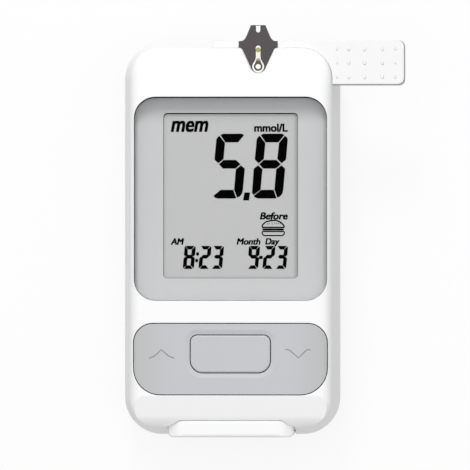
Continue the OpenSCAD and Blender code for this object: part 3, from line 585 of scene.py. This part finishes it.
inkValues = {
    "displayInk": {"colour": (0.0006, 0.0006, 0.0007), "rough": 0.6, "ior": 1.04},
    "chevronInk": {"colour": linear(140, 150, 150), "rough": 0.5},
    "markWhite": {"colour": linear(247, 246, 240), "rough": 0.45},
}


def makeInk(name, colour, rough, ior=1.4):
    skin = {"Grain Scale": 12000.0, "Grain Depth": 0.15, "Roughness": rough,
            "Shade Spread": 0.12, "Edge Radius": 0.00002}
    return paintSkin(startMaterial(name, skin, IOR=ior), colour)


channelValues = {
    "head": linear(165, 166, 84), "stem": linear(244, 238, 214),
    "flare": linear(170, 164, 118), "foot": linear(98, 94, 62),
    "heads": (44.60, 44.75), "flares": (43.35, 43.10), "feet": (42.80, 42.60),  # mm, where each begins
}


def makeMarkGold(values):
    # The strip's channel: gold at its head, pale in the middle, dark gold at the ring
    skin = {"Grain Scale": 9000.0, "Grain Depth": 0.2, "Roughness": 0.4, "Shade Spread": 0.12,
            "Edge Radius": 0.00002}
    started = startMaterial("markGold", skin, IOR=1.4)
    tree = started[1]
    colour = values["stem"]
    for k, (name, place) in enumerate((("head", "heads"), ("flare", "flares"), ("foot", "feet"))):
        share = alongAxis(tree, "Y", *values[place], (-1100, 300 - 300 * k))
        colour = mixColours(tree, share, colour, values[name], (-450 + 200 * k, 300))
    return paintSkin(started, colour)


finishes["shellFront"] = makeShellFront(finishes["shellWhite"], wellValues)
finishes["keyGrey"] = makeKeyGrey(keyValues)
finishes["maskGrey"] = makeMaskGrey(maskValues)
finishes["displayGrey"] = makeDisplayGrey(glassValues)
finishes["lensClear"] = makeLensClear(lensValues)
for name, values in metalValues.items():
    finishes[name] = makeMetal(name, **values)
finishes["boardGreen"] = makeBoardGreen(boardValues)
finishes["elastomer"] = makeElastomer()
finishes["stripWhite"] = makeStripWhite(stripValues)
finishes["filmDark"] = paintSkin(startMaterial("filmDark", stripValues["filmSkin"], IOR=1.35),
                                 stripValues["film"])
for name, values in inkValues.items():
    finishes[name] = makeInk(name, **values)
finishes["markGold"] = makeMarkGold(channelValues)


def dress(material, *names):
    for name in names:
        for slot in nodes[name].material_slots:
            slot.material = material


worn = {
    "shellFront": ["front_cover"], "shellWhite": ["rear_cover"], "doorWhite": ["battery_door"],
    "holderWhite": ["glass_holder"], "packageBlack": ["processor_chip", "buzzer", "strip_connector"],
    "keyGrey": ["rocker_key", "middle_key"], "maskGrey": ["display_mask"],
    "displayGrey": ["display_glass"], "lensClear": ["display_lens"],
    "steel": ["snap_domes", "radio_module", "battery_plates", "battery_springs", "housing_screws"],
    "contactGold": ["contact_springs", "strip_electrodes"], "boardGreen": ["circuit_board"],
    "elastomer": ["elastomer_connectors"], "stripWhite": ["strip_body"], "filmDark": ["strip_film"],
}
for name, pieces in worn.items():
    dress(finishes[name], *pieces)
for side, nubUp in (("left", True), ("right", False)):
    cell = "battery_cell_" + side
    low, high = (corner.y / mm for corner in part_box(cell))
    ends = (low, high) if nubUp else (high, low)
    dress(makeCellSleeve("cellSleeve" + side.title(), cellValues, *ends), cell)
print("finishes ready:", len(finishes))

# ---- thin printed and laid-on pieces


def addSolid(bm, outline, low, high):
    # A closed slab from an outline in mm
    area = sum(a[0] * b[1] - b[0] * a[1] for a, b in zip(outline, outline[1:] + outline[:1]))
    points = outline if area > 0 else outline[::-1]
    lower = [bm.verts.new((x * mm, y * mm, low * mm)) for x, y in points]
    upper = [bm.verts.new((x * mm, y * mm, high * mm)) for x, y in points]
    bm.faces.new(upper)
    bm.faces.new(lower[::-1])
    for k in range(len(points)):
        n = (k + 1) % len(points)
        bm.faces.new((lower[k], lower[n], upper[n], upper[k]))


def addBand(bm, line, width, low, high, closed=False):
    # A flat band along a line in mm. Its width is one number, or one for each point.
    count = len(line)
    widths = width if isinstance(width, list) else [width] * count
    sides = []
    for k, (x, y) in enumerate(line):
        before = line[k - 1] if k or closed else line[k]
        after = line[(k + 1) % count] if k < count - 1 or closed else line[k]
        way = Vector((after[0] - before[0], after[1] - before[1])).normalized()
        half = widths[k] / 2
        sides.append(((x - way.y * half, y + way.x * half), (x + way.y * half, y - way.x * half)))
    rows = [[bm.verts.new((p[0] * mm, p[1] * mm, z * mm))
             for p, z in ((a, low), (b, low), (b, high), (a, high))] for a, b in sides]
    for k in range(count if closed else count - 1):
        here, there = rows[k], rows[(k + 1) % count]
        for j in range(4):
            bm.faces.new((here[j], here[(j + 1) % 4], there[(j + 1) % 4], there[j]))
    if not closed:
        bm.faces.new(rows[0][::-1])
        bm.faces.new(rows[-1])


def finishPiece(name, bm, material, body):
    bmesh.ops.remove_doubles(bm, verts=bm.verts, dist=1e-8)
    bmesh.ops.recalc_face_normals(bm, faces=bm.faces)
    mesh = bpy.data.meshes.new(name)
    bm.to_mesh(mesh)
    bm.free()
    piece = bpy.data.objects.new(name, mesh)
    mesh.materials.append(material)
    bpy.context.scene.collection.objects.link(piece)
    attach(piece, body)
    return piece


# ---- key mat: a sheet and three pips cut from it

matValues = {
    "cut": 15.56,      # mm, height at which the pips part from the sheet
    "between": 8.0,    # mm from the middle, between the middle pip and the outer ones
    "keep": 0.46,      # share of a pip's height that is left when its key is down
}


def cutMat(height, above, kept):
    # The mat's mesh on one side of the cut, closed there, with only the points that are kept
    bm = bmesh.new()
    bm.from_mesh(nodes["key_mat"].data)
    bmesh.ops.remove_doubles(bm, verts=bm.verts, dist=1e-6)
    cut = bmesh.ops.bisect_plane(bm, geom=bm.verts[:] + bm.edges[:] + bm.faces[:],
                                 plane_co=(0, 0, height * mm), plane_no=(0, 0, 1),
                                 dist=1e-7, clear_outer=not above, clear_inner=above)
    rims = [e for e in cut["geom_cut"] if isinstance(e, bmesh.types.BMEdge)]
    bmesh.ops.edgeloop_fill(bm, edges=rims)
    bmesh.ops.delete(bm, geom=[v for v in bm.verts if not kept(abs(v.co.x) / mm)], context="VERTS")
    return bm


def makeMat(values):
    silicone, height = finishes["siliconeGrey"], values["cut"]
    sheet = finishPiece("key_mat_sheet", cutMat(height, False, lambda x: True), silicone, "housing")
    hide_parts("key_mat")
    pips = (("key_mat_outer_pips", lambda x: x > values["between"], "rocker_tilt"),
            ("key_mat_middle_pip", lambda x: x < values["between"], "middle_key_press"))
    for name, kept, joint in pips:
        piece = finishPiece(name, cutMat(height, True, kept), silicone, "housing")
        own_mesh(piece)


makeMat(matValues)
print("key mat ready: one sheet and three pips")


displayValues = {
    "scale": 0.24,         # mm for one step of the layout below
    "centre": (230.3, 238.35),
    "slant": 0.09,         # lean of the digits
    "ink": 0.02,           # mm, thickness of a lit segment
    "big": {"digits": [("5", 210.9), ("8", 251.3)], "foot": 198.5, "size": (31.4, 64.9)},
    "small": {"digits": [("8", 182.9), ("2", 198.6), ("3", 211.2), ("9", 247.3), ("2", 262.7),
                         ("3", 275.3)],
              "foot": 268.9, "size": (10.6, 22.9)},
}

# Segments of one leaning digit in a cell of 270 by 560
segmentShapes = {
    "big": {
        "a": [(32, 549), (56, 560), (217, 560), (236, 548), (191, 485), (80, 485)],
        "b": [(241, 542), (258, 531), (269, 511), (270, 337), (234, 304), (194, 341), (196, 480)],
        "c": [(234, 287), (269, 257), (269, 72), (263, 40), (247, 18), (224, 7), (193, 76),
              (192, 253)],
        "d": [(20, 24), (78, 75), (186, 75), (217, 4), (208, 0), (60, 0), (32, 8)],
        "e": [(33, 287), (74, 253), (74, 76), (17, 30), (2, 50), (-2, 257)],
        "f": [(25, 542), (11, 531), (1, 511), (0, 337), (36, 304), (78, 341), (79, 479)],
        "g": [(42, 296), (78, 333), (187, 333), (228, 296), (190, 259), (80, 259)],
    },
    "small": {
        "a": [(12, 562), (240, 562), (180, 474), (76, 474)],
        "b": [(254, 550), (276, 528), (278, 345), (240, 300), (180, 340), (180, 468)],
        "c": [(240, 296), (278, 255), (276, 42), (260, 16), (182, 90), (182, 262)],
        "d": [(20, -2), (248, -2), (180, 86), (82, 86)],
        "e": [(36, 296), (88, 257), (86, 90), (8, 16), (-8, 38), (-8, 262)],
        "f": [(-8, 537), (6, 552), (78, 468), (90, 343), (36, 300), (-6, 340)],
        "g": [(44, 298), (82, 344), (186, 344), (228, 298), (186, 252), (82, 252)],
    },
}
digitSegments = {"2": "abged", "3": "abgcd", "5": "afgcd", "8": "abcdefg", "9": "abcdfg"}


def addDigit(bm, kind, digit, left, values, low):
    scale, (cx, cy) = values["scale"], values["centre"]
    foot, (width, height) = values[kind]["foot"], values[kind]["size"]
    for name in digitSegments[digit]:
        outline = []
        for u, v in segmentShapes[kind][name]:
            x = left + u / 270 * width + values["slant"] * v / 560 * height
            y = foot - v / 560 * height
            outline.append(((x - cx) * scale - depthShift, (cy - y) * scale))
        addSolid(bm, outline, low, low + values["ink"])


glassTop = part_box("display_glass")[1].z / mm
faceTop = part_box("front_cover")[1].z / mm
# The display lies below the face, so the tilted camera sees it moved a little
depthShift = (faceTop - glassTop) * math.tan(math.radians(viewValues["tilt"]))


def onDisplay(px, py):
    scale, (cx, cy) = displayValues["scale"], displayValues["centre"]
    return ((px - cx) * scale - depthShift, (cy - py) * scale)


def makeReading(values):
    bm = bmesh.new()
    for kind in ("big", "small"):
        for digit, left in values[kind]["digits"]:
            addDigit(bm, kind, digit, left, values, glassTop)
    top = glassTop + values["ink"]
    point = [(244.5, 192.4), (250.1, 192.4), (249.1, 200.4), (243.1, 200.4)]
    dash = [(259.2, 255.9), (262.9, 255.9), (262.6, 259.1), (258.9, 259.1)]
    for outline in (point, dash):
        addSolid(bm, [onDisplay(*p) for p in outline], glassTop, top)
    for px, py in ((197.5, 254.0), (196.6, 260.6)):
        ring = [(px + 1.55 * math.cos(a * math.pi / 8), py + 1.9 * math.sin(a * math.pi / 8))
                for a in range(16)]
        addSolid(bm, [onDisplay(*p) for p in ring], glassTop, top)
    return finishPiece("display_digits", bm, finishes["displayInk"], "housing")


# Words: text, box on the layout, boldness on the layout, lean
legendValues = [
    ("mem", (170.7, 120.6, 208.4, 132.0), 0.62, 0.22),
    ("mmol/L", (254.2, 123.4, 287.9, 131.8), 0.45, 0.0),
    ("Before", (259.9, 212.2, 288.0, 219.6), 0.40, 0.2),
    ("AM", (170.6, 238.2, 184.0, 244.8), 0.40, 0.2),
    ("Month", (236.6, 238.2, 260.6, 244.8), 0.36, 0.2),
    ("Day", (265.2, 238.2, 279.6, 246.6), 0.36, 0.2),
]


def addWord(bm, text, box, bold, lean):
    # Five copies a hair apart give the strokes their weight
    curve = bpy.data.curves.new("word", "FONT")
    curve.body = text
    curve.resolution_u = 4
    curve.extrude = 0.01
    word = bpy.data.objects.new("word", curve)
    bpy.context.scene.collection.objects.link(word)
    shape = bpy.data.meshes.new_from_object(word.evaluated_get(bpy.context.evaluated_depsgraph_get()))
    corners = [(v.co.x + lean * v.co.y, v.co.y, v.co.z) for v in shape.vertices]
    xs, ys = [c[0] for c in corners], [c[1] for c in corners]
    spans = (max(xs) - min(xs), max(ys) - min(ys))
    left, top = onDisplay(box[0] + bold, box[1] + bold * 0.7)
    right, foot = onDisplay(box[2] - bold, box[3] - bold * 0.7)
    step = bold * displayValues["scale"]
    for k, (dx, dy) in enumerate(((0, 0), (-1, -0.7), (-1, 0.7), (1, -0.7), (1, 0.7))):
        height = displayValues["ink"] * (1 - 0.04 * k)
        for v, (x, y, z) in zip(shape.vertices, corners):
            v.co = ((left + (x - min(xs)) / spans[0] * (right - left) + dx * step) * mm,
                    (foot + (y - min(ys)) / spans[1] * (top - foot) + dy * step) * mm,
                    (glassTop + (height if z > 0 else 0.0)) * mm)
        bm.from_mesh(shape)
    bpy.data.objects.remove(word)
    bpy.data.curves.remove(curve)
    bpy.data.meshes.remove(shape)


def makeLegends():
    bm = bmesh.new()
    for word in legendValues:
        addWord(bm, *word)
    return finishPiece("display_legends", bm, finishes["displayInk"], "housing")


mealValues = {
    "line": 1.4,                 # all on the layout
    "dome": [(262.2, 227.4), (262.1, 226.3), (263.0, 224.6), (264.6, 222.9), (266.4, 221.6),
             (268.2, 221.3), (269.8, 220.9), (271.5, 220.3), (273.6, 220.5), (275.8, 220.3),
             (277.6, 220.9), (279.4, 221.6), (281.4, 222.8), (283.2, 224.6), (284.5, 226.6),
             (284.4, 227.4)],
    "patty": (262.6, 229.5, 283.8, 2.0),   # left, middle, right, thickness
    "foot": (262.3, 231.5, 284.4, 235.6), "footTurn": 2.6,
    "seeds": [(267.4, 224.0), (269.4, 223.6), (272.0, 222.2), (272.4, 224.1), (275.0, 223.3),
              (276.6, 223.3), (278.5, 223.4), (280.3, 223.6)],
}


def makeMealSign(values):
    # A bun: a domed top with seeds, a filling and a flat foot
    bm = bmesh.new()
    top = glassTop + displayValues["ink"]
    width = values["line"] * displayValues["scale"]
    addBand(bm, [onDisplay(*p) for p in values["dome"]], width, glassTop, top, closed=True)
    for px, py in values["seeds"]:
        addBand(bm, [onDisplay(px - 0.15, py + 0.6), onDisplay(px + 0.15, py - 0.6)], width * 0.4,
                glassTop, top)
    left, middle, right, thick = values["patty"]
    addBand(bm, [onDisplay(left, middle), onDisplay(right, middle)],
            thick * displayValues["scale"], glassTop, top)
    left, crown, right, base = values["foot"]
    r = values["footTurn"]
    line = [(left + 0.5, crown), (right - 0.5, crown), (right, crown + 0.6)]
    for cx, start in ((right - r, 0), (left + r, 90)):
        line += [(cx + r * math.cos(math.radians(start + a)),
                  base - r + r * math.sin(math.radians(start + a))) for a in range(0, 91, 18)]
    line.append((left, crown + 0.6))
    addBand(bm, [onDisplay(*p) for p in line], width * 0.9, glassTop, top, closed=True)
    return finishPiece("display_meal_sign", bm, finishes["displayInk"], "housing")


windowShadeValues = {
    "window": (-16.2, 16.2, -9.6, 30.1),        # mm: left, right, foot and top of the mask's window
    "shown": (0.06, 0.0, 0.05, 0.28),           # mm of the ring that show at each of these sides
    "under": 0.5,                               # mm of it under the mask
    "turn": 0.9,                                # mm, radius of its inner corners
    "height": 0.015,
}


def roundedBox(left, right, foot, top, r):
    places = ((right - r, top - r, 0), (left + r, top - r, 90), (left + r, foot + r, 180),
              (right - r, foot + r, 270))
    return [(x + r * math.cos(math.radians(start + a)), y + r * math.sin(math.radians(start + a)))
            for x, y, start in places for a in range(0, 91, 15)]


def makeWindowShade(values):
    # A black ring on the display's edge, painted shade under the mask's window edge; it shows most at the
    # top
    bm = bmesh.new()
    left, right, foot, top = values["window"]
    shown, under = values["shown"], values["under"]
    inner = roundedBox(left + shown[0], right - shown[1], foot + shown[2], top - shown[3],
                       values["turn"])
    outer = roundedBox(left - under, right + under, foot - under, top + under,
                       values["turn"] + under)
    rows = []
    for (ix, iy), (ox, oy) in zip(inner, outer):
        rows.append([bm.verts.new((x * mm, y * mm, z * mm)) for x, y, z in (
            (ix, iy, glassTop), (ox, oy, glassTop), (ox, oy, glassTop + values["height"]),
            (ix, iy, glassTop + values["height"]))])
    for here, there in zip(rows, rows[1:] + rows[:1]):
        for j in range(4):
            bm.faces.new((here[j], here[(j + 1) % 4], there[(j + 1) % 4], there[j]))
    return finishPiece("display_window_shade", bm, finishes["displayInk"], "housing")


makeReading(displayValues)
makeLegends()
makeMealSign(mealValues)
makeWindowShade(windowShadeValues)
print("display reading made")

chevronValues = {
    "width": 0.28, "height": 0.02,
    "up": [(148.8, 358.6), (150.5, 357.7), (153.3, 356.6), (155.5, 355.2), (161.2, 349.7),
           (168.5, 356.0), (172.5, 357.6), (174.0, 358.2)],
    "down": [(285.2, 349.8), (287.6, 349.4), (289.8, 350.4), (298.7, 357.8), (305.8, 350.6),
             (308.0, 349.4), (310.6, 349.9)],
}


def makeChevrons(values):
    bm = bmesh.new()
    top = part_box("rocker_key")[1].z / mm
    scale, (cx, cy) = displayValues["scale"], displayValues["centre"]
    for name in ("up", "down"):
        line = [((px - cx) * scale, (cy - py) * scale) for px, py in values[name]]
        addBand(bm, line, values["width"], top - 0.03, top + values["height"])
    return finishPiece("key_chevrons", bm, finishes["chevronInk"], "rocker")


makeChevrons(chevronValues)
print("key signs made")

# ---- strip marks and grip bumps

markValues = {
    "centre": (6.65, 41.25),      # mm, middle of the eye; the rest is measured from it
    "ring": (1.24, 0.36), "open": 52,                      # middle radius, width, half opening
    "outline": [(0.72, 1.30, 0.28), (0.50, 1.85, 0.22), (0.44, 2.40, 0.20), (0.44, 3.30, 0.20),
                (0.47, 3.70, 0.14), (0.48, 4.10, 0.14), (0.48, 4.42, 0.24), (0.34, 4.70, 0.38),
                (0.0, 4.82, 0.46)],                        # x, y and width up one side
    "channel": [(0.38, 0.90), (0.69, 0.69), (0.60, 1.29), (0.40, 1.88), (0.36, 2.40),
                (0.36, 3.20)],
    "channelFoot": 0.98, "head": (4.02, 0.57),             # height and radius of the round head
    "eye": (0.62, 18.30, 18.74),                           # radius, lowest, highest
    "inlet": (0.60, 8.70, 9.84, 0.18, 0.22),               # half width, foot, top, line, top line
    "layer": 0.012,
}


def makeStripMarks(values):
    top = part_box("strip_film")[1].z / mm
    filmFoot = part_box("strip_film")[0].z / mm
    cx, cy = values["centre"]
    layer = values["layer"]
    # White outline: a ring that is open above, a flaring neck, a stem and a head
    radius, thick = values["ring"]
    start = values["open"]
    line = [(radius * math.sin(math.radians(a)), radius * math.cos(math.radians(a)), thick)
            for a in [start + (360 - 2 * start) * k / 28 for k in range(29)]]
    outline = values["outline"]
    line += [(-x, y, w) for x, y, w in outline] + outline[-2::-1]
    white = bmesh.new()
    addBand(white, [(cx + x, cy + y) for x, y, w in line], [w for x, y, w in line], top - 0.01,
            top + layer, closed=True)
    finishPiece("strip_mark_outline", white, finishes["markWhite"], "test_strip")
    # Channel: gold head, pale stem, dark gold foot
    height, r = values["head"]
    neck = math.degrees(math.asin(values["channel"][-1][0] / r))
    side = values["channel"] + [(r * math.sin(math.radians(a)), height - r * math.cos(math.radians(a)))
                                for a in [neck + (180 - neck) * k / 8 for k in range(8)]]
    whole = [(0, values["channelFoot"])] + side + [(0, height + r)] + [(-x, y) for x, y in side[::-1]]
    gold = bmesh.new()
    addSolid(gold, [(cx + x, cy + y) for x, y in whole], top - 0.01, top + layer * 1.6)
    finishPiece("strip_mark_channel", gold, finishes["markGold"], "test_strip")
    # White bottom of the eye, and the cover film's edge across the inlet
    radius, low, high = values["eye"]
    eye = bmesh.new()
    addSolid(eye, [(cx + radius * math.cos(math.radians(a)), cy + radius * math.sin(math.radians(a)))
                   for a in range(0, 360, 12)], low, high)
    finishPiece("strip_eye", eye, finishes["markWhite"], "test_strip")
    half, low, high, thick, crown = values["inlet"]
    edge = bmesh.new()
    line = [(half, high), (-half, high)]
    line += [(half * math.cos(math.radians(a)), low + half * math.sin(math.radians(a)))
             for a in range(180, 361, 20)]
    addBand(edge, [(cx + x, cy + y) for x, y in line], [crown, crown] + [thick] * (len(line) - 2),
            filmFoot, top - 0.002, closed=True)
    finishPiece("strip_inlet_edge", edge, finishes["filmDark"], "test_strip")


makeStripMarks(markValues)

bumpValues = {
    "columns": [(337.2, 0.30), (348.8, 0.42), (364.6, 0.45), (382.5, 0.42), (395.4, 0.30)],
    "rows": [48.7, 62.5, 76.7],
    "stretch": 1.5,    # length over width
    "height": 0.07,    # mm above the plate
}


def socketId(group, name):
    return next(s.identifier for s in group.interface.items_tree
                if s.name == name and s.in_out == "INPUT")


def makeBumpTree():
    group = bpy.data.node_groups.new("gripBumps", "GeometryNodeTree")
    for label, kind, value in (("Geometry", "NodeSocketGeometry", None),
                               ("Stretch", "NodeSocketFloat", 1.5),
                               ("Height", "NodeSocketFloat", 0.0001),
                               ("Material", "NodeSocketMaterial", None)):
        socket = group.interface.new_socket(name=label, in_out="INPUT", socket_type=kind)
        if value is not None:
            socket.default_value = value
    group.interface.new_socket(name="Geometry", in_out="OUTPUT", socket_type="NodeSocketGeometry")
    start = addNode(group, "NodeGroupInput", (-800, 0)).outputs
    ball = addNode(group, "GeometryNodeMeshUVSphere", (-500, -200),
                   {"Segments": 24, "Rings": 12, "Radius": 1.0})
    width = addNode(group, "GeometryNodeInputNamedAttribute", (-800, -200),
                    {"Name": "halfWidth"}).outputs["Attribute"]
    length = mathOf(group, "MULTIPLY", (-500, -400), width, start["Stretch"])
    size = addNode(group, "ShaderNodeCombineXYZ", (-300, -350),
                   {"X": width, "Y": length, "Z": start["Height"]})
    place = addNode(group, "GeometryNodeInstanceOnPoints", (0, 0),
                    {"Points": start["Geometry"], "Instance": ball.outputs["Mesh"],
                     "Scale": size.outputs[0]})
    real = addNode(group, "GeometryNodeRealizeInstances", (200, 0), {0: place.outputs[0]})
    smooth = addNode(group, "GeometryNodeSetShadeSmooth", (400, 0), {0: real.outputs[0]})
    paint = addNode(group, "GeometryNodeSetMaterial", (600, 0),
                    {"Geometry": smooth.outputs[0], "Material": start["Material"]})
    addNode(group, "NodeGroupOutput", (800, 0), {0: paint.outputs[0]})
    return group


def plainMesh(piece):
    # The evaluated shape as a plain mesh, without its modifiers
    bpy.context.view_layer.update()
    shape = bpy.data.meshes.new_from_object(piece.evaluated_get(bpy.context.evaluated_depsgraph_get()))
    piece.modifiers.clear()
    piece.data = shape
    return piece


def makeGripBumps(values):
    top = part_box("strip_body")[1].z / mm
    scale, (cx, cy) = displayValues["scale"], displayValues["centre"]
    shift = (faceTop - top) * math.tan(math.radians(viewValues["tilt"]))
    points, widths = [], []
    for px, half in values["columns"]:
        for py in values["rows"]:
            points.append((((px - cx) * scale - shift) * mm, (cy - py) * scale * mm, top * mm))
            widths.append(half * mm)
    mesh = bpy.data.meshes.new("grip_bumps")
    mesh.from_pydata(points, [], [])
    mesh.attributes.new("halfWidth", "FLOAT", "POINT").data.foreach_set("value", widths)
    piece = bpy.data.objects.new("grip_bumps", mesh)
    bpy.context.scene.collection.objects.link(piece)
    tree = makeBumpTree()
    modifier = piece.modifiers.new("bumps", "NODES")
    modifier.node_group = tree
    modifier[socketId(tree, "Stretch")] = values["stretch"]
    modifier[socketId(tree, "Height")] = values["height"] * mm
    modifier[socketId(tree, "Material")] = finishes["stripWhite"]
    plainMesh(piece)
    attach(piece, "test_strip")


makeGripBumps(bumpValues)
print("strip marks made")
